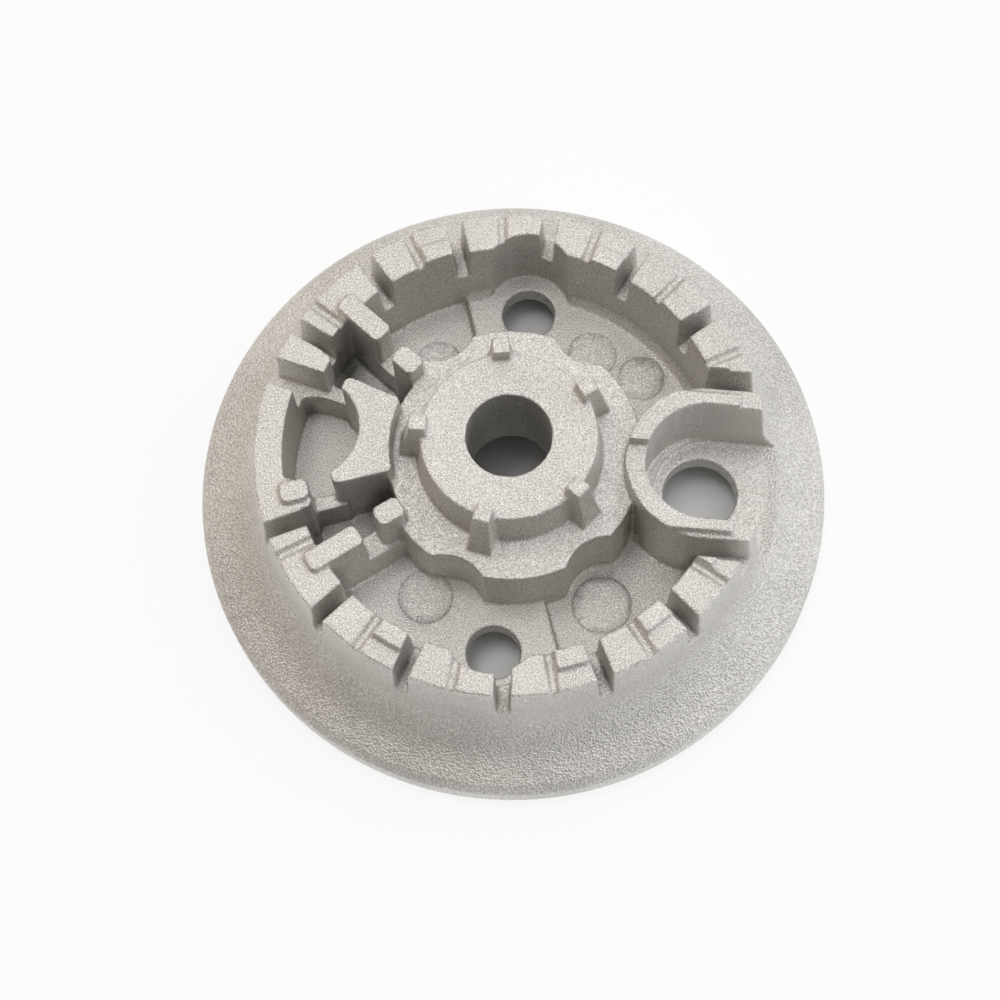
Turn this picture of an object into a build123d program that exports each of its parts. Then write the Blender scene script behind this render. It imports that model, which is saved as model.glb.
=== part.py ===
from build123d import *
import os
from math import radians, tan

# Gas burner housing: one aluminium die casting, in millimetres.
# The origin is the centre of the rim's foot, +Z is up, +X runs through the igniter notch
# and +Y towards one of the two screws.

cut_over = 1.0            # cuts and joined walls run this far past the faces they meet

# Rim, flange and underside
rim_r = 30.0
rim_h = 3.0
rim_chamfer = 0.7
rim_land = 3.0            # width of the flat foot under the rim
under_z = 2.8             # height of the hollow under the floor
flange_rise = 1.5         # how far the flange climbs from the rim to the crown
flange_sweep = 4.0        # reach of the concave sweep from the flange up to the crown
sweep_share = 0.6         # and at most this share of the crown's outer wall
crown_draft = 5.5         # degrees, on the crown's outer wall
draft = 1.5               # degrees, on the tall walls of the bowl and hub

# Bowl and crown
floor_t = 2.1
floor_bevel = 0.8         # at the foot of the bowl's wall
crown_r = 23.5
crown_t = 3.7             # radial thickness of the crown ring
crown_h = 8.95            # crown above the bowl floor
pad_rise = 0.55           # pads, bars, bridge and lip above the crown
pad_len = 1.8             # radial length of a pad
pad_share = 0.44          # of the pitch from one port to the next

# Flame ports between the crown blocks
port_pitch = 22.8         # degrees
port_first = 40.4         # degrees from +X to the first radial port
port_count = 6            # radial ports on each side
port_depth = 4.85
port_w = 1.75
port_foot_w = 1.25
groove_w = 1.15
groove_foot_w = 0.65
groove_depth = 0.4
padded_blocks = (0, 1, 2, 4)

# Hub
plate_r = 12.25
plate_h = 7.1             # hub plate above the bowl floor
disc_r = 8.05
disc_h = 4.5              # hub disc above the plate
disc_draft = 6.0          # degrees
bore_r = 3.9
bore_len = 10.5
hub_wall = 1.8
scallop_r = 3.9
scallop_depth = 1.15
scallop_angles = (63.0, 124.0, -108.0, -48.0)

# Cap pins round the disc
pin_angles = (36.0, 100.5, 180.0, -100.5, -36.0)
pin_rise = 1.5            # above the disc
pin_w = 1.6
pin_len = 1.6
pin_reach = 0.95          # how far a pin's top stands out of the disc's edge
pin_foot_w = 2.35
pin_foot_len = 2.75
pin_foot_reach = 1.55

# Screw holes on the Y axis
screw_y = 17.15
screw_hole_r = 2.5
screw_room_r = 4.2        # the crown is cut back this far round a hole for the screw head

# Igniter notch on the X axis
notch_x = 17.9
notch_r = 5.45
notch_wall = 1.85
lip_arm_cut = 0.6         # the lip's arms are thinner than the wall by this
lip_reach = 2.85          # length of the lip's arms past the notch centre
lip_gap_w = 2.9
lip_gap_depth = 1.2
seat_rise = 0.1           # igniter seat above the bowl floor
seat_ledge = 0.6
seat_shift = 0.95         # the ledge is a crescent between two arcs this far apart
igniter_hole_r = 3.5
side_port_w = 1.75        # port between each arm and the next crown block

# Ignition chamber on the -X side
bar_angle = 142.5
bar_w = 2.05
bar_foot_w = 2.35
hub_bar_angle = 144.0     # the bar's inner end, beside the hub, is turned a little further
bar_in_r = 11.3
bar_gap_r = 14.0
bar_gap_w = 1.9
bar_end = 2.15            # the bar stops this far inside the crown's outer edge
bar_groove_angle = 147.8
bridge_half_angle = 19.0
bridge_in_r = 10.9
bridge_out_r = 16.5
pocket_in_r = 11.3
well_x = -18.9
well_r = 5.0
well_wall = 2.7           # crown thickness behind the well
horn_from = 157.0         # degrees: the crown reaches further in from here to its mirror image
horn_reach = 1.1          # how far they stand in from the bowl's wall
sill_from = 159.8         # degrees: a low wall between the well and a pocket joins horn and bridge
sill_to = 164.6
chamber_bevel = 0.4       # upright corners of the horns, bars and bridge
wall_share = 0.4          # a bevelled corner takes at most this share of its wall
vent_angle = 166.3
vent_w = 2.45
stop_from = 195.2
stop_to = 201.0

# Trays in the bowl floor
tray_depth = 1.1
tray_gap = 0.05           # a tray stays this far from the bowl's walls
trays = ((109.0, 142.5), (-70.0, -22.0))

# Levels and radii that follow
floor_z = under_z + floor_t
crown_z = floor_z + crown_h
top_z = crown_z + pad_rise
port_z = crown_z - port_depth
plate_z = floor_z + plate_h
disc_z = plate_z + disc_h
pin_z = disc_z + pin_rise
tray_z = floor_z - tray_depth
seat_z = floor_z + seat_rise
clear_z = max(top_z, pin_z) + cut_over
bowl_r = crown_r - crown_t
tube_r = bore_r + hub_wall
tube_z = disc_z - bore_len
roof_z = plate_z - hub_wall
well_back_r = crown_r - well_wall
horn_in_r = bowl_r - horn_reach
arm_y = notch_r + notch_wall
sill_in_r = bridge_out_r - cut_over
sill_out_r = horn_in_r + cut_over
past_rim = rim_r + cut_over


def lean(height, angle=draft):
    """How far a wall with this draft moves sideways over a height."""
    return height * tan(radians(angle))


flange_z = rim_h + flange_rise
crown_foot_r = crown_r + lean(crown_z - flange_z, crown_draft)
bowl_foot_r = bowl_r - lean(crown_h - floor_bevel)
plate_foot_r = plate_r + lean(plate_h)
disc_foot_r = disc_r + lean(disc_h, disc_draft)
hollow_r = plate_r - hub_wall
land_r = rim_r - rim_land


def prism(sketch, low, high):
    """Extrude a plan sketch between two levels."""
    return extrude(Pos(0, 0, low) * sketch, amount=high - low)


def disc_at(x, y, r, low, high):
    """Upright cylinder between two levels."""
    return prism(Pos(x, y) * Circle(r), low, high)


def sector(start, end, r_in, r_out, low, high, corner=0.0):
    """Part of a ring between two angles, radii and levels, with upright corners bevelled if asked."""
    inner = CenterArc((0, 0), r_in, start, end - start)
    outer = CenterArc((0, 0), r_out, start, end - start)
    ends = [Line(inner @ 0, outer @ 0), Line(inner @ 1, outer @ 1)]
    plan = make_face([inner, outer] + ends)
    if corner > 0:
        plan = chamfer(plan.vertices(), min(corner, wall_share * (r_out - r_in)))
    return prism(plan, low, high)


def radial_bar(angle, foot_w, top_w, r_in, r_out, low, high, corner=0.0):
    """Straight bar along a radius whose sides lean from its foot's width to its top's."""
    outline = Polyline((-foot_w / 2, low), (foot_w / 2, low), (top_w / 2, high), (-top_w / 2, high),
                       close=True)
    bar = extrude(Plane.YZ.offset(r_in) * make_face(outline), amount=r_out - r_in)
    if corner > 0:
        upright = [edge for edge in bar.edges() if edge.bounding_box().size.Z > edge.length / 2]
        bar = chamfer(upright, min(corner, wall_share * min(top_w, r_out - r_in)))
    return Rot(0, 0, angle) * bar


def both_sides(shape):
    """A shape and its mirror image across the X axis."""
    return [shape, mirror(shape, Plane.XZ)]


def notch_plan(half_width, x_end, shift=0.0):
    """Plan of the igniter notch: a half round with straight arms towards +X."""
    x = notch_x + shift
    arms = Pos((x + x_end) / 2, 0) * Rectangle(x_end - x, 2 * half_width)
    return Pos(x, 0) * Circle(half_width) + arms


def eased_face(corners):
    """Face within a ring of corners (r, z, ease), each softened over its ease on both sides."""
    runs = []
    for index, (r, z, ease) in enumerate(corners):
        corner = Vector(r, z)
        ahead = corners[(index + 1) % len(corners)]
        back = (Vector(*corners[index - 1][:2]) - corner).normalized()
        forward = (Vector(*ahead[:2]) - corner).normalized()
        runs.append((corner + back * ease, corner, corner + forward * ease))
    edges = []
    for index, (start, corner, end) in enumerate(runs):
        if start != end:
            edges.append(Bezier(start, corner, end))
        next_start = runs[(index + 1) % len(runs)][0]
        if end != next_start:
            edges.append(Line(end, next_start))
    return make_face(edges)


def turned_body():
    """Rim, flange, crown ring, bowl, hub and bore as one turned section."""
    sweep = min(flange_sweep, rim_r - rim_chamfer - crown_foot_r, sweep_share * (crown_z - flange_z))
    section = eased_face((
        (bore_r, tube_z, 0), (tube_r, tube_z, 0), (tube_r, roof_z, 0), (hollow_r, roof_z, 0),
        (hollow_r, under_z, 0), (land_r - under_z, under_z, 0), (land_r, 0, 0), (rim_r, 0, 0),
        (rim_r, rim_h - rim_chamfer, 0), (rim_r - rim_chamfer, rim_h, 0), (crown_foot_r, flange_z, sweep),
        (crown_r, crown_z, 0), (bowl_r, crown_z, 0), (bowl_foot_r, floor_z + floor_bevel, 0),
        (bowl_foot_r - floor_bevel, floor_z, 0), (plate_foot_r, floor_z, 0), (plate_r, plate_z, 0),
        (disc_foot_r, plate_z, 0), (disc_r, disc_z, 0), (bore_r, disc_z, 0)))
    return revolve(Plane.XZ * section, Axis.Z)


def outer_envelope():
    """Everything inside the crown's outer wall and above the underside."""
    grown_r = crown_r - lean(top_z - crown_z, crown_draft)
    outline = Polyline((0, under_z), (land_r - under_z, under_z), (crown_foot_r, flange_z),
                       (grown_r, top_z), (0, top_z), close=True)
    return revolve(Plane.XZ * make_face(outline), Axis.Z)


def floor_cuts():
    """Trays in the bowl floor, scallops in the hub plate and the inner ends of the pockets."""
    cuts = []
    for start, end in trays:
        cuts.append(sector(start, end, plate_foot_r + tray_gap, bowl_foot_r - tray_gap, tray_z, clear_z))
    for angle in scallop_angles:
        reach = plate_r - scallop_depth + scallop_r
        foot_z = tray_z if any(start < angle < end for start, end in trays) else floor_z
        cuts.append(Rot(0, 0, angle) * disc_at(reach, 0, scallop_r, foot_z, clear_z))
    pocket_out_r = plate_foot_r + tray_gap
    pocket = sector(bar_angle, 180 - bridge_half_angle, pocket_in_r, pocket_out_r, floor_z, clear_z)
    return cuts + both_sides(pocket)


def pads():
    """Raised pads on the inner half of the crown blocks, clear of the notch and its side ports."""
    notch_room = Pos(past_rim / 2, 0, top_z / 2) * Box(past_rim, 2 * (arm_y + side_port_w), top_z)
    shapes = []
    for block in padded_blocks:
        start = port_first + port_pitch * (block - 1)
        pad = sector(start, start + pad_share * port_pitch, bowl_r, bowl_r + pad_len, port_z, top_z)
        shapes += both_sides(pad - notch_room)
    return shapes


def cap_pins():
    """Tapered pins on the edge of the hub disc."""
    foot_x = disc_foot_r + pin_foot_reach - pin_foot_len / 2
    top_x = disc_r + pin_reach - pin_len / 2
    foot = Pos(foot_x, 0, plate_z) * Rectangle(pin_foot_len, pin_foot_w)
    top = Pos(top_x, 0, pin_z) * Rectangle(pin_len, pin_w)
    pin = loft([foot, top])
    return [Rot(0, 0, angle) * pin for angle in pin_angles]


def chamber_walls():
    """Horns of the crown, sills beside the well, radial bars with their gaps, and the bridge to the hub."""
    horns = sector(horn_from, 360 - horn_from, horn_in_r, crown_r, under_z, crown_z, chamber_bevel)
    stop = sector(stop_from, stop_to, horn_in_r, crown_r - bar_end, port_z, top_z, chamber_bevel)
    bridge = sector(180 - bridge_half_angle, 180 + bridge_half_angle, bridge_in_r, bridge_out_r,
                    under_z, top_z, chamber_bevel)
    sill = sector(sill_from, sill_to, sill_in_r, sill_out_r, under_z, port_z)
    bar_out_r = crown_r - bar_end
    low_bar = radial_bar(bar_angle, bar_foot_w, bar_foot_w, bar_in_r, bar_out_r, under_z, port_z)
    hub_bar = radial_bar(hub_bar_angle, bar_foot_w, bar_w, bar_in_r, bar_gap_r,
                         under_z, top_z, chamber_bevel)
    crown_in_r = bar_gap_r + bar_gap_w
    crown_bar = radial_bar(bar_angle, bar_foot_w, bar_w, crown_in_r, bar_out_r,
                           port_z, top_z, chamber_bevel)
    bars = both_sides(low_bar) + both_sides(hub_bar) + both_sides(crown_bar)
    return [horns, stop, bridge] + both_sides(sill) + bars


def notch_wall_solid():
    """Wall round the igniter notch with its thin raised lip, still filled inside."""
    wall = prism(notch_plan(arm_y, past_rim), under_z, crown_z)
    lip = prism(notch_plan(arm_y, notch_x + lip_reach), under_z, top_z)
    lip_room = Box(past_rim, 2 * (arm_y - lip_arm_cut), top_z)
    lip &= Pos(notch_x + lip_reach - past_rim / 2, 0, top_z / 2) * lip_room
    return [wall, lip]


def notch_cuts():
    """Inside of the igniter notch, its hole, the gap in the lip and the ports beside the arms."""
    inside = prism(notch_plan(notch_r, past_rim), seat_z + seat_ledge, clear_z)
    seat = prism(notch_plan(notch_r, past_rim, seat_shift), seat_z, clear_z)
    hole = disc_at(notch_x, 0, igniter_hole_r, 0, clear_z)
    gap_plan = Pos(notch_x - notch_r, 0) * Rectangle(2 * notch_r, lip_gap_w)
    gap = prism(gap_plan, top_z - lip_gap_depth, clear_z)
    gap -= disc_at(0, 0, disc_foot_r + pin_foot_reach, 0, clear_z)
    port_y = arm_y + side_port_w / 2
    port_x = bowl_r - crown_t
    port = prism(Pos(port_x + past_rim / 2, port_y) * Rectangle(past_rim, side_port_w), port_z, clear_z)
    return [inside, seat, hole, gap] + both_sides(port)


def port_cuts():
    """Radial flame ports, and the shallow groove in the middle of each crown block."""
    inner_r = horn_in_r - cut_over
    groove_in_r = bowl_r - cut_over
    groove_z = crown_z - groove_depth
    cuts = []
    for step in range(port_count):
        angle = port_first + port_pitch * step
        port = radial_bar(angle, port_foot_w, port_w, inner_r, past_rim, port_z, clear_z)
        cuts += both_sides(port)
    groove_angles = [port_first + port_pitch * (step - 0.5) for step in range(port_count - 1)]
    for angle in groove_angles + [bar_groove_angle]:
        groove = radial_bar(angle, groove_foot_w, groove_w, groove_in_r, past_rim, groove_z, top_z)
        cuts += both_sides(groove)
    return cuts


def chamber_cuts():
    """Well of the ignition chamber and the vent from it to the outside."""
    well = disc_at(well_x, 0, well_r, floor_z, clear_z) & disc_at(0, 0, well_back_r, floor_z, clear_z)
    vent = radial_bar(vent_angle, vent_w, vent_w, horn_in_r - cut_over, past_rim, port_z, clear_z)
    return [well, vent]


def screw_cuts():
    """Screw holes, and the room for the screw heads in the crown."""
    head = disc_at(0, screw_y, screw_room_r, floor_z, clear_z)
    head -= disc_at(0, 0, plate_foot_r + tray_gap, 0, clear_z)
    hole = disc_at(0, screw_y, screw_hole_r, 0, clear_z)
    return both_sides(head) + both_sides(hole)


def burner_housing():
    """The whole casting."""
    envelope = outer_envelope()
    body = turned_body() - floor_cuts()
    walls = [shape & envelope for shape in notch_wall_solid() + chamber_walls()]
    body = body + walls + pads() + cap_pins()
    body = body - notch_cuts() - chamber_cuts() - port_cuts() - screw_cuts()
    return body


os.makedirs("parts", exist_ok=True)
housing = burner_housing()
export_step(housing, "parts/burner_housing.step")
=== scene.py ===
"""Looks of a die-cast gas burner housing: its softened casting, blasted metal and a white studio."""

import logging
from dataclasses import dataclass
from enum import Enum
from math import cos, radians, sin
from typing import Any

import bmesh
import bpy
from mathutils import Matrix, Vector


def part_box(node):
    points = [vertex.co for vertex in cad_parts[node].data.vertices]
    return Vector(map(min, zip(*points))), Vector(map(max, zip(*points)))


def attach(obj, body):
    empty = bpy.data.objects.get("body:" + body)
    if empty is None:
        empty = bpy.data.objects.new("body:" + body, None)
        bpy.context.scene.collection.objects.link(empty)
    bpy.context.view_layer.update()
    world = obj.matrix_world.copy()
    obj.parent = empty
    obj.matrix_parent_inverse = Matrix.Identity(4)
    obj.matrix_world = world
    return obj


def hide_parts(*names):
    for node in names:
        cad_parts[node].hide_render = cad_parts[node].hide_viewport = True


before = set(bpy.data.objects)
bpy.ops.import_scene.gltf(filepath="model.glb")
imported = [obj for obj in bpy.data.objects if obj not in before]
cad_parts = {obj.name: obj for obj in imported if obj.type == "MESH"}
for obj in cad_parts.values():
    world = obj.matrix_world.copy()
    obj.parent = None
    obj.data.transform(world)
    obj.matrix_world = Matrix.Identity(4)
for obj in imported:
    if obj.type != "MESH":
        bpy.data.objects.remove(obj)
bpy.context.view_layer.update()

LOG = logging.getLogger("burner_housing")
MM = 0.001
# point attribute of painted shade, which darkens the pockets and the lines round the ejector marks
PAINTED_SHADE_ATTRIBUTE = "recess"
MARK_RADIUS = "mark_radius"
MARK_SIDE = "mark_side"


def linear(hex_colour: str) -> tuple[float, float, float, float]:
    """Turns an sRGB hex colour into linear light.

    Args:
        hex_colour: Colour such as "#C8C4BE".

    Returns:
        Red, green, blue and an alpha of 1.
    """
    channels = [int(hex_colour[at:at + 2], 16) / 255 for at in (1, 3, 5)]
    light = [c / 12.92 if c <= 0.04045 else ((c + 0.055) / 1.055) ** 2.4 for c in channels]
    return (*light, 1.0)


def add_node(tree: bpy.types.NodeTree, kind: str, inputs: dict[Any, Any] | None = None,
             **settings: Any) -> bpy.types.Node:
    """Adds a node with its settings, fixed inputs and links.

    Args:
        tree: Node tree that gets the node.
        kind: Blender's name of the node type.
        inputs: Input name or number to a fixed value, or to the output socket that feeds it.
        settings: Properties of the node itself.

    Returns:
        The new node.
    """
    node = tree.nodes.new(kind)
    for name, value in settings.items():
        setattr(node, name, value)
    for key, value in (inputs or {}).items():
        if isinstance(value, bpy.types.NodeSocket):
            tree.links.new(value, node.inputs[key])
        else:
            node.inputs[key].default_value = value
    return node


def empty_material(name: str) -> bpy.types.Material:
    """Makes a node material with no nodes in it."""
    material = bpy.data.materials.new(name)
    material.use_nodes = True
    material.node_tree.nodes.clear()
    return material


def link_object(name: str, mesh: bpy.types.Mesh) -> bpy.types.Object:
    """Puts a mesh in the scene as an object at the origin."""
    piece = bpy.data.objects.new(name, mesh)
    bpy.context.scene.collection.objects.link(piece)
    return piece


@dataclass(frozen=True)
class BlastedCastAluminium:
    """Aluminium die casting, shot-blasted.

    Blasting leaves a satin, slightly warm grey skin of small dimples that glint one by one. They are
    coarser on the open flange. Narrow pockets and the lines round the ejector marks get painted shade,
    a darker colour.
    """

    name: str = "shot_blasted_cast_aluminium"
    bright: str = "#FAF8F4"
    dull: str = "#ACAAA5"
    # colour of the painted shade in narrow pockets and round the ejector marks
    painted_shade_colour: str = "#3F3D3A"
    roughness: float = 0.5
    rough_spread: float = 0.12
    # Real dimples are 0.1 to 0.2 mm wide, one or two pixels here, so they are drawn coarser to show.
    grain_mm: float = 0.28
    flange_grain_mm: float = 0.4
    grain_depth_mm: float = 0.03
    flange_grain_depth_mm: float = 0.07
    grain_span: tuple[float, float] = (0.3, 0.7)
    cells_per_dimple: float = 2.0
    cloud_mm: float = 9.0
    cloud_share: float = 0.3
    flange_cloud_share: float = 0.5
    flange_from_mm: float = 23.6
    flange_blend_mm: float = 0.8

    def material(self) -> bpy.types.Material:
        """Builds the material.

        Returns:
            A metal with dimples, cloudy tone and painted shade in its recesses and round its marks.
        """
        material = empty_material(self.name)
        tree = material.node_tree
        place = add_node(tree, "ShaderNodeTexCoord").outputs["Object"]
        sizes = (self.grain_mm, self.flange_grain_mm)
        fine, coarse = (self.dimples(tree, place, size) for size in sizes)
        plan = add_node(tree, "ShaderNodeVectorMath", {
            0: place, 1: (1.0, 1.0, 0.0)}, operation="MULTIPLY")
        reach = add_node(tree, "ShaderNodeVectorMath", {
            0: plan.outputs["Vector"]}, operation="LENGTH")
        on_flange = add_node(tree, "ShaderNodeMapRange", {
            "Value": reach.outputs["Value"],
            "From Min": self.flange_from_mm * MM,
            "From Max": (self.flange_from_mm + self.flange_blend_mm) * MM}).outputs["Result"]
        grain = add_node(tree, "ShaderNodeMix", {
            "Factor": on_flange, "A": fine, "B": coarse}).outputs["Result"]
        depth = add_node(tree, "ShaderNodeMapRange", {
            "Value": on_flange, "To Min": self.grain_depth_mm * MM,
            "To Max": self.flange_grain_depth_mm * MM}).outputs["Result"]
        bump = add_node(tree, "ShaderNodeBump", {
            "Height": grain, "Distance": depth}).outputs["Normal"]
        cloud = add_node(tree, "ShaderNodeTexNoise", {
            "Vector": place, "Scale": 1 / (self.cloud_mm * MM), "Detail": 3.0}).outputs["Fac"]
        share = add_node(tree, "ShaderNodeMapRange", {
            "Value": on_flange, "To Min": self.cloud_share,
            "To Max": self.flange_cloud_share}).outputs["Result"]
        tone = add_node(tree, "ShaderNodeMix", {
            "Factor": share, "A": grain, "B": cloud}).outputs["Result"]
        clean = add_node(tree, "ShaderNodeMix", {
            "Factor": tone, "A": linear(self.dull), "B": linear(self.bright)}, data_type="RGBA")
        # Painted shade: pockets and the lines round the marks are mixed toward a dark grey.
        recess = add_node(tree, "ShaderNodeAttribute", attribute_name=PAINTED_SHADE_ATTRIBUTE).outputs["Fac"]
        colour = add_node(tree, "ShaderNodeMix", {
            "Factor": recess, "A": clean.outputs["Result"],
            "B": linear(self.painted_shade_colour)}, data_type="RGBA")
        rough = add_node(tree, "ShaderNodeMapRange", {
            "Value": grain, "To Min": self.roughness + self.rough_spread, "To Max": self.roughness})
        metal = add_node(tree, "ShaderNodeBsdfPrincipled", {
            "Base Color": colour.outputs["Result"], "Metallic": 1.0,
            "Roughness": rough.outputs["Result"], "Normal": bump})
        add_node(tree, "ShaderNodeOutputMaterial", {"Surface": metal.outputs["BSDF"]})
        return material

    def dimples(self, tree: bpy.types.NodeTree, place: bpy.types.NodeSocket,
                size_mm: float) -> bpy.types.NodeSocket:
        """Adds the height of a blasted skin.

        Args:
            tree: Node tree of the material.
            place: Coordinates on the part, in metres.
            size_mm: Width of one dimple.

        Returns:
            Height between 0 in a dimple and 1 on a ridge.
        """
        low, high = self.grain_span
        noise = add_node(tree, "ShaderNodeTexNoise", {
            "Vector": place, "Scale": self.cells_per_dimple / (size_mm * MM), "Detail": 1.0})
        height = add_node(tree, "ShaderNodeMapRange", {
            "Value": noise.outputs["Fac"], "From Min": low, "From Max": high})
        return height.outputs["Result"]


@dataclass(frozen=True)
class MattPaper:
    """White paper, matt: bright and even round the casting with only a soft shadow, dim under it."""

    name: str = "matt_white_paper"
    white: str = "#FAFAFA"
    glow_share: float = 0.84
    glow_from_mm: float = 27.0
    glow_blend_mm: float = 2.5

    def material(self) -> bpy.types.Material:
        """Builds the material.

        Returns:
            Matt white that the camera and reflections see partly lit up.
        """
        material = empty_material(self.name)
        tree = material.node_tree
        rays = add_node(tree, "ShaderNodeLightPath").outputs
        seen = add_node(tree, "ShaderNodeMath", {
            0: rays["Is Camera Ray"], 1: rays["Is Glossy Ray"]}, operation="MAXIMUM")
        seen = add_node(tree, "ShaderNodeMath", {
            0: seen.outputs[0], 1: rays["Is Transmission Ray"]}, operation="MAXIMUM")
        place = add_node(tree, "ShaderNodeTexCoord").outputs["Object"]
        reach = add_node(tree, "ShaderNodeVectorMath", {
            0: place}, operation="LENGTH").outputs["Value"]
        outside = add_node(tree, "ShaderNodeMapRange", {
            "Value": reach, "From Min": self.glow_from_mm * MM,
            "From Max": (self.glow_from_mm + self.glow_blend_mm) * MM,
            "To Max": self.glow_share}).outputs["Result"]
        share = add_node(tree, "ShaderNodeMath", {
            0: seen.outputs[0], 1: outside}, operation="MULTIPLY")
        matt = add_node(tree, "ShaderNodeBsdfDiffuse", {"Color": linear(self.white)})
        glow = add_node(tree, "ShaderNodeEmission", {"Strength": 1.0})
        mix = add_node(tree, "ShaderNodeMixShader", {
            0: share.outputs[0], 1: matt.outputs["BSDF"], 2: glow.outputs["Emission"]})
        add_node(tree, "ShaderNodeOutputMaterial", {"Surface": mix.outputs["Shader"]})
        return material


class Side(Enum):
    """Which way the disc left by an ejector pin stands from the floor."""

    PROUD = 1.0
    SUNK = -1.0


@dataclass(frozen=True)
class EjectorMark:
    """Round mark of an ejector pin, by its reach from the axis and its angle."""

    reach_mm: float
    angle: float
    r_mm: float
    side: Side


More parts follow.
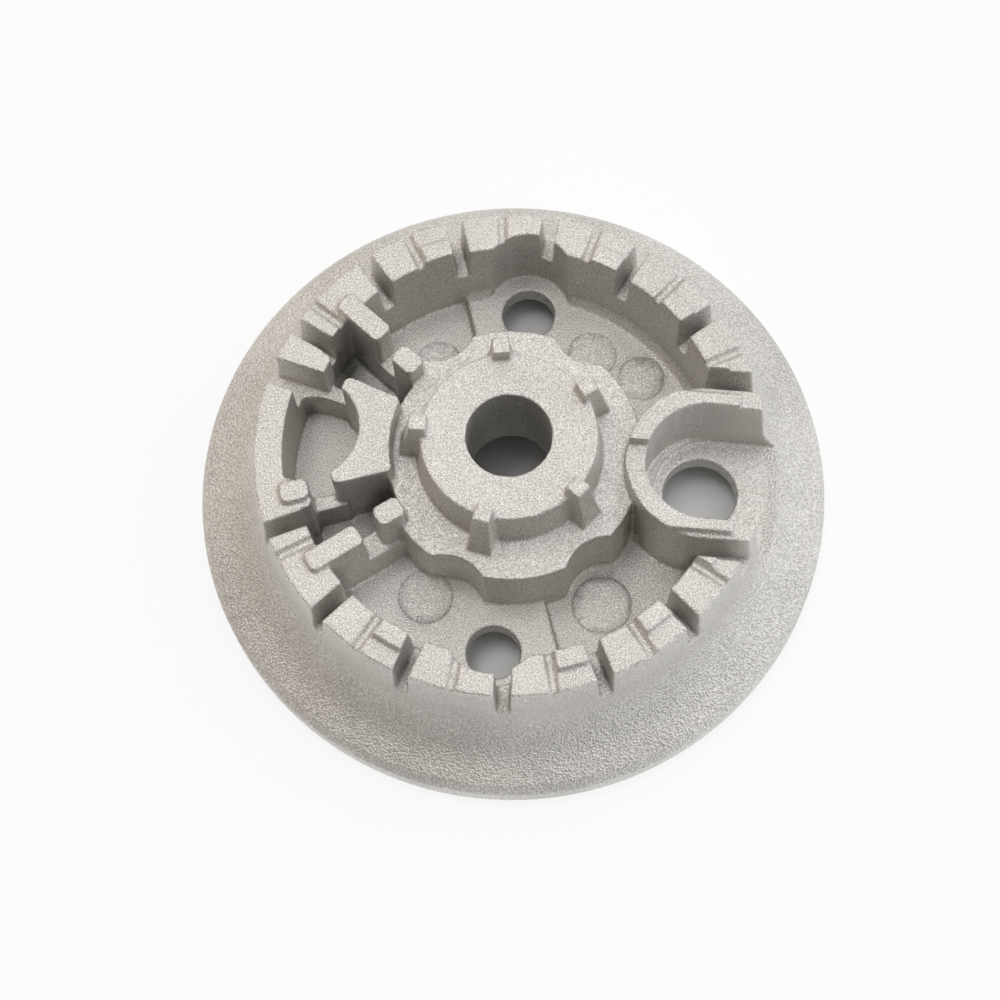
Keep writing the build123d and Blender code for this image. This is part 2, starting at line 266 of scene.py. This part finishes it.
@dataclass
class Housing:
    """The one casting: rim, flange, crown, hub, notch and chamber, with a die casting's soft edges."""

    finish: BlastedCastAluminium
    node: str = "burner_housing"
    body: str = "root"
    slot: str = "cast_aluminium"
    piece_name: str = "cast_housing"
    voxel_mm: float = 0.15
    rounding_passes: int = 2
    triangles: int = 185_000
    weld_mm: float = 0.001
    marks: tuple[EjectorMark, ...] = (
        EjectorMark(14.9, 63.8, 2.3, Side.SUNK), EjectorMark(14.4, 125.3, 2.15, Side.SUNK),
        EjectorMark(14.15, -119.0, 2.5, Side.SUNK), EjectorMark(14.9, -50.0, 2.7, Side.PROUD),
        EjectorMark(16.1, 44.6, 2.15, Side.PROUD))
    mark_edge_mm: float = 0.15
    mark_rise_mm: float = 0.1
    mark_probe: float = 0.8   # share of a mark's radius at which the floor's level is taken
    mark_line: float = 0.4    # darkness of the painted shade line round a mark, standing in for the shade at its edge
    wave_mm: float = 0.015
    wave_size_mm: float = 2.5
    recess_reach_mm: float = 6.0
    recess_rays: int = 8
    recess_tilts: tuple[float, ...] = (30.0, 60.0)
    recess_from: float = 0.63   # share of blocked rays at which the painted shade starts
    recess_passes: int = 4

    def merged_copy(self) -> bpy.types.Object:
        """Copies the solid's mesh with its loose triangles joined.

        Returns:
            A new object that can be remeshed.
        """
        work = bmesh.new()
        work.from_mesh(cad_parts[self.node].data)
        bmesh.ops.remove_doubles(work, verts=work.verts, dist=self.weld_mm * MM)
        mesh = bpy.data.meshes.new(self.piece_name)
        work.to_mesh(mesh)
        work.free()
        return link_object(self.piece_name, mesh)

    def mark_centres(self) -> bpy.types.Object:
        """Finds the place of each round ejector mark, at the floor's level under its outer edge.

        Returns:
            An object with one point for each mark.
        """
        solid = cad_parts[self.node]
        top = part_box(self.node)[1].z
        places = []
        for mark in self.marks:
            outward = Vector((cos(radians(mark.angle)), sin(radians(mark.angle)), 0.0))
            edge = outward * (mark.reach_mm + self.mark_probe * mark.r_mm) * MM
            above = edge + Vector((0.0, 0.0, top))
            _, level, _, _ = solid.ray_cast(above, Vector((0.0, 0.0, -1.0)))
            places.append(outward * mark.reach_mm * MM + Vector((0.0, 0.0, level.z)))
        mesh = bpy.data.meshes.new("mark_centres")
        mesh.from_pydata(places, [], [])
        radius = mesh.attributes.new(MARK_RADIUS, "FLOAT", "POINT")
        radius.data.foreach_set("value", [mark.r_mm * MM for mark in self.marks])
        side = mesh.attributes.new(MARK_SIDE, "FLOAT", "POINT")
        side.data.foreach_set("value", [mark.side.value for mark in self.marks])
        return link_object("mark_centres", mesh)

    def skin_tree(self) -> bpy.types.NodeTree:
        """Builds the node tree that turns the sharp solid's mesh into a cast one.

        Returns:
            A tree that rounds edges, shapes the marks, waves the skin and stores painted shade for its
            recesses and the marks' edges.
        """
        tree = bpy.data.node_groups.new("cast_skin", "GeometryNodeTree")
        sockets = {
            "Geometry": "NodeSocketGeometry", "Rounding Passes": "NodeSocketInt",
            "Marks": "NodeSocketObject", "Mark Edge": "NodeSocketFloat",
            "Mark Rise": "NodeSocketFloat", "Mark Line": "NodeSocketFloat",
            "Wave": "NodeSocketFloat", "Wave Size": "NodeSocketFloat",
            "Recess Reach": "NodeSocketFloat", "Metal": "NodeSocketMaterial"}
        for name, kind in sockets.items():
            tree.interface.new_socket(name, in_out="INPUT", socket_type=kind)
        tree.interface.new_socket("Geometry", in_out="OUTPUT", socket_type="NodeSocketGeometry")
        given = add_node(tree, "NodeGroupInput").outputs
        place = add_node(tree, "GeometryNodeInputPosition").outputs["Position"]
        normal = add_node(tree, "GeometryNodeInputNormal").outputs["Normal"]
        blurred = add_node(tree, "GeometryNodeBlurAttribute", {
            "Iterations": given["Rounding Passes"]}, data_type="FLOAT_VECTOR")
        tree.links.new(place, blurred.inputs["Value"])
        rounded = add_node(tree, "GeometryNodeSetPosition", {
            "Geometry": given["Geometry"], "Position": blurred.outputs["Value"]}).outputs["Geometry"]
        centres = add_node(tree, "GeometryNodeObjectInfo", {
            "Object": given["Marks"]}).outputs["Geometry"]
        away = add_node(tree, "GeometryNodeProximity", {
            0: centres}, target_element="POINTS").outputs["Distance"]
        nearest = add_node(tree, "GeometryNodeSampleNearest", {
            "Geometry": centres}).outputs["Index"]
        own = {}
        for name in (MARK_RADIUS, MARK_SIDE):
            value = add_node(tree, "GeometryNodeInputNamedAttribute", {
                "Name": name}).outputs["Attribute"]
            own[name] = add_node(tree, "GeometryNodeSampleIndex", {
                "Geometry": centres, "Value": value, "Index": nearest}).outputs["Value"]
        outer = add_node(tree, "ShaderNodeMath", {
            0: own[MARK_RADIUS], 1: given["Mark Edge"]}).outputs[0]
        inside = add_node(tree, "ShaderNodeMapRange", {
            "Value": away, "From Min": outer, "From Max": own[MARK_RADIUS]},
            interpolation_type="SMOOTHSTEP").outputs["Result"]
        height = add_node(tree, "ShaderNodeMath", {
            0: own[MARK_SIDE], 1: given["Mark Rise"]}, operation="MULTIPLY").outputs[0]
        rise = add_node(tree, "ShaderNodeMath", {
            0: inside, 1: height}, operation="MULTIPLY").outputs[0]
        # Painted shade: a dark line round each mark, for the shade at its edge.
        gap = add_node(tree, "ShaderNodeMath", {
            0: away, 1: own[MARK_RADIUS]}, operation="SUBTRACT").outputs[0]
        gap = add_node(tree, "ShaderNodeMath", {0: gap}, operation="ABSOLUTE").outputs[0]
        line = add_node(tree, "ShaderNodeMapRange", {
            "Value": gap, "From Min": given["Mark Edge"], "From Max": 0.0,
            "To Max": given["Mark Line"]}).outputs["Result"]
        wave_scale = add_node(tree, "ShaderNodeMath", {
            0: 1.0, 1: given["Wave Size"]}, operation="DIVIDE").outputs[0]
        noise = add_node(tree, "ShaderNodeTexNoise", {
            "Vector": place, "Scale": wave_scale, "Detail": 1.0}).outputs["Fac"]
        # The skin only waves inwards, so that the casting stays within the solid's size.
        inward = add_node(tree, "ShaderNodeMath", {0: noise, 1: -1.0}).outputs[0]
        wave = add_node(tree, "ShaderNodeMath", {
            0: inward, 1: given["Wave"]}, operation="MULTIPLY").outputs[0]
        shift = add_node(tree, "ShaderNodeMath", {0: rise, 1: wave}).outputs[0]
        offset = add_node(tree, "ShaderNodeVectorMath", {
            0: normal, "Scale": shift}, operation="SCALE")
        skin = add_node(tree, "GeometryNodeSetPosition", {
            "Geometry": rounded, "Offset": offset.outputs["Vector"]}).outputs["Geometry"]
        lift = add_node(tree, "ShaderNodeVectorMath", {
            0: normal, "Scale": self.voxel_mm * MM}, operation="SCALE")
        source = add_node(tree, "ShaderNodeVectorMath", {
            0: place, 1: lift.outputs["Vector"]}).outputs["Vector"]
        # Painted shade: the share of blocked rays darkens the colour in pockets, where shade falls.
        blocked = None
        count = 0
        for tilt in self.recess_tilts:
            for step in range(self.recess_rays):
                turn = radians(360 * step / self.recess_rays + tilt)
                level = cos(radians(tilt))
                way = (level * cos(turn), level * sin(turn), sin(radians(tilt)))
                hit = add_node(tree, "GeometryNodeRaycast", {
                    "Target Geometry": skin, "Source Position": source, "Ray Direction": way,
                    "Ray Length": given["Recess Reach"]}).outputs["Is Hit"]
                if blocked is None:
                    blocked = hit
                else:
                    blocked = add_node(tree, "ShaderNodeMath", {0: blocked, 1: hit}).outputs[0]
                count += 1
        depth = add_node(tree, "ShaderNodeMapRange", {
            "Value": blocked, "From Min": self.recess_from * count, "From Max": float(count)},
            interpolation_type="SMOOTHSTEP").outputs["Result"]
        soft_depth = add_node(tree, "GeometryNodeBlurAttribute", {
            "Iterations": self.recess_passes}, data_type="FLOAT")
        tree.links.new(depth, soft_depth.inputs["Value"])
        # The painted shade of the pockets and of the mark lines go into one attribute.
        dark = add_node(tree, "ShaderNodeMath", {
            0: soft_depth.outputs["Value"], 1: line}, operation="MAXIMUM")
        stored = add_node(tree, "GeometryNodeStoreNamedAttribute", {
            "Geometry": skin, "Name": PAINTED_SHADE_ATTRIBUTE, "Value": dark.outputs[0]},
            data_type="FLOAT", domain="POINT").outputs["Geometry"]
        smooth = add_node(tree, "GeometryNodeSetShadeSmooth", {
            "Geometry": stored}).outputs["Geometry"]
        whole = add_node(tree, "GeometryNodeRealizeInstances", {
            "Geometry": smooth}).outputs["Geometry"]
        dressed = add_node(tree, "GeometryNodeSetMaterial", {
            "Geometry": whole, "Material": given["Metal"]}).outputs["Geometry"]
        add_node(tree, "NodeGroupOutput", {"Geometry": dressed})
        return tree

    def build(self) -> bpy.types.Object:
        """Builds and dresses the casting.

        Returns:
            The finished piece, a plain mesh at the origin.
        """
        piece = self.merged_copy()
        centres = self.mark_centres()
        remesh = piece.modifiers.new("even_mesh", "REMESH")
        remesh.mode = "VOXEL"
        remesh.voxel_size = self.voxel_mm * MM
        skin = piece.modifiers.new("cast_skin", "NODES")
        skin.node_group = self.skin_tree()
        values = {
            "Rounding Passes": self.rounding_passes, "Marks": centres,
            "Mark Edge": self.mark_edge_mm * MM, "Mark Rise": self.mark_rise_mm * MM,
            "Mark Line": self.mark_line, "Wave": self.wave_mm * MM,
            "Wave Size": self.wave_size_mm * MM, "Recess Reach": self.recess_reach_mm * MM,
            "Metal": self.finish.material()}
        for socket in skin.node_group.interface.items_tree:
            if socket.name in values:
                skin[socket.identifier] = values[socket.name]
        self.flatten(piece)
        thin = piece.modifiers.new("fewer_faces", "DECIMATE")
        piece.data.calc_loop_triangles()
        thin.ratio = min(1.0, self.triangles / len(piece.data.loop_triangles))
        self.flatten(piece)
        bpy.data.objects.remove(centres)
        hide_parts(self.node)
        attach(piece, self.body)
        return piece

    @staticmethod
    def flatten(piece: bpy.types.Object) -> None:
        """Turns a piece and its modifiers into a plain mesh."""
        graph = bpy.context.evaluated_depsgraph_get()
        mesh = bpy.data.meshes.new_from_object(piece.evaluated_get(graph))
        piece.modifiers.clear()
        piece.data = mesh


@dataclass
class Studio:
    """White table, soft sky and one large soft lamp, with the camera above the front."""

    floor: MattPaper
    floor_m: float = 3.0
    azimuth: float = 10.081
    elevation: float = 70.836
    roll: float = -4.655
    distance_mm: float = 205.10
    target_mm: tuple[float, float, float] = (-1.182, -0.572, 0.0)
    lens_mm: float = 75.81
    sensor_mm: float = 36.0
    zenith: float = 0.88
    horizon: float = 0.72
    front: float = 0.13
    front_way: tuple[float, float, float] = (-0.1, -0.85, 0.52)
    front_span: tuple[float, float] = (0.4, 0.95)
    left: str = "#FFE9D6"
    right: str = "#FFFFFF"
    tint_span: tuple[float, float] = (-0.9, -0.1)
    right_gain: float = 1.6
    gain_span: tuple[float, float] = (0.0, 0.8)
    lamp_mm: tuple[float, float, float] = (-95.0, 65.0, 595.0)
    lamp_size_mm: float = 220.0
    lamp_watts: float = 0.62

    def build(self) -> None:
        """Builds the table, the light and the camera."""
        self.add_floor()
        self.add_sky()
        self.add_lamp()
        self.add_camera()

    def add_floor(self) -> None:
        """Lays the white table under the rim."""
        half = self.floor_m / 2
        mesh = bpy.data.meshes.new("table")
        corners = [(-half, -half, 0), (half, -half, 0), (half, half, 0), (-half, half, 0)]
        mesh.from_pydata(corners, [], [(0, 1, 2, 3)])
        mesh.materials.append(self.floor.material())
        link_object("table", mesh)

    def add_sky(self) -> None:
        """Lights the scene from a pale room, dark on the viewer's side and brighter on the right."""
        world = bpy.data.worlds.new("pale_room")
        world.use_nodes = True
        tree = world.node_tree
        tree.nodes.clear()
        way = add_node(tree, "ShaderNodeTexCoord").outputs["Generated"]
        axes = add_node(tree, "ShaderNodeSeparateXYZ", {0: way}).outputs
        height = add_node(tree, "ShaderNodeMapRange", {
            "Value": axes["Z"], "To Min": self.horizon, "To Max": self.zenith}).outputs["Result"]
        ahead = add_node(tree, "ShaderNodeVectorMath", {
            0: way, 1: self.front_way}, operation="DOT_PRODUCT")
        front = add_node(tree, "ShaderNodeMapRange", {
            "Value": ahead.outputs["Value"], "From Min": self.front_span[0],
            "From Max": self.front_span[1], "To Min": 1.0,
            "To Max": self.front}, interpolation_type="SMOOTHSTEP").outputs["Result"]
        level = add_node(tree, "ShaderNodeMath", {
            0: height, 1: front}, operation="MULTIPLY").outputs[0]
        side = add_node(tree, "ShaderNodeMapRange", {
            "Value": axes["X"], "From Min": self.tint_span[0],
            "From Max": self.tint_span[1]}).outputs["Result"]
        gain = add_node(tree, "ShaderNodeMapRange", {
            "Value": axes["X"], "From Min": self.gain_span[0], "From Max": self.gain_span[1],
            "To Min": 1.0, "To Max": self.right_gain}).outputs["Result"]
        level = add_node(tree, "ShaderNodeMath", {
            0: level, 1: gain}, operation="MULTIPLY").outputs[0]
        tint = add_node(tree, "ShaderNodeMix", {
            "Factor": side, "A": linear(self.left), "B": linear(self.right)}, data_type="RGBA")
        room = add_node(tree, "ShaderNodeBackground", {
            "Color": tint.outputs["Result"], "Strength": level}).outputs["Background"]
        add_node(tree, "ShaderNodeOutputWorld", {"Surface": room})
        bpy.context.scene.world = world

    def add_lamp(self) -> None:
        """Hangs one large soft lamp high above the table, a little to the back left."""
        lamp = bpy.data.lights.new("soft_lamp", "AREA")
        lamp.shape = "DISK"
        lamp.size = self.lamp_size_mm * MM
        lamp.energy = self.lamp_watts
        holder = bpy.data.objects.new("soft_lamp", lamp)
        holder.location = Vector(self.lamp_mm) * MM
        holder.rotation_euler = holder.location.to_track_quat("Z", "Y").to_euler()
        bpy.context.scene.collection.objects.link(holder)

    def add_camera(self) -> None:
        """Sets the camera where the photograph was taken from."""
        turn, lift, roll = radians(self.azimuth), radians(self.elevation), radians(self.roll)
        back = Vector((sin(turn) * cos(lift), -cos(turn) * cos(lift), sin(lift)))
        level = Vector((cos(turn), sin(turn), 0.0))
        upward = back.cross(level)
        right = cos(roll) * level + sin(roll) * upward
        up = cos(roll) * upward - sin(roll) * level
        camera = bpy.data.cameras.new("camera")
        camera.lens = self.lens_mm
        camera.sensor_width = self.sensor_mm
        camera.clip_start = MM
        holder = bpy.data.objects.new("camera", camera)
        place = (Vector(self.target_mm) + self.distance_mm * back) * MM
        facing = Matrix((right, up, back)).transposed().to_4x4()
        holder.matrix_world = Matrix.Translation(place) @ facing
        bpy.context.scene.collection.objects.link(holder)
        bpy.context.scene.camera = holder


def main() -> None:
    """Builds the casting and the studio in order."""
    logging.basicConfig(level=logging.INFO, format="%(name)s: %(message)s")
    bpy.context.scene.view_settings.view_transform = "Standard"
    housing = Housing(finish=BlastedCastAluminium()).build()
    LOG.info("%s has %d faces", housing.name, len(housing.data.polygons))
    Studio(floor=MattPaper()).build()
    LOG.info("studio is lit")


if __name__ == "__main__":
    main()
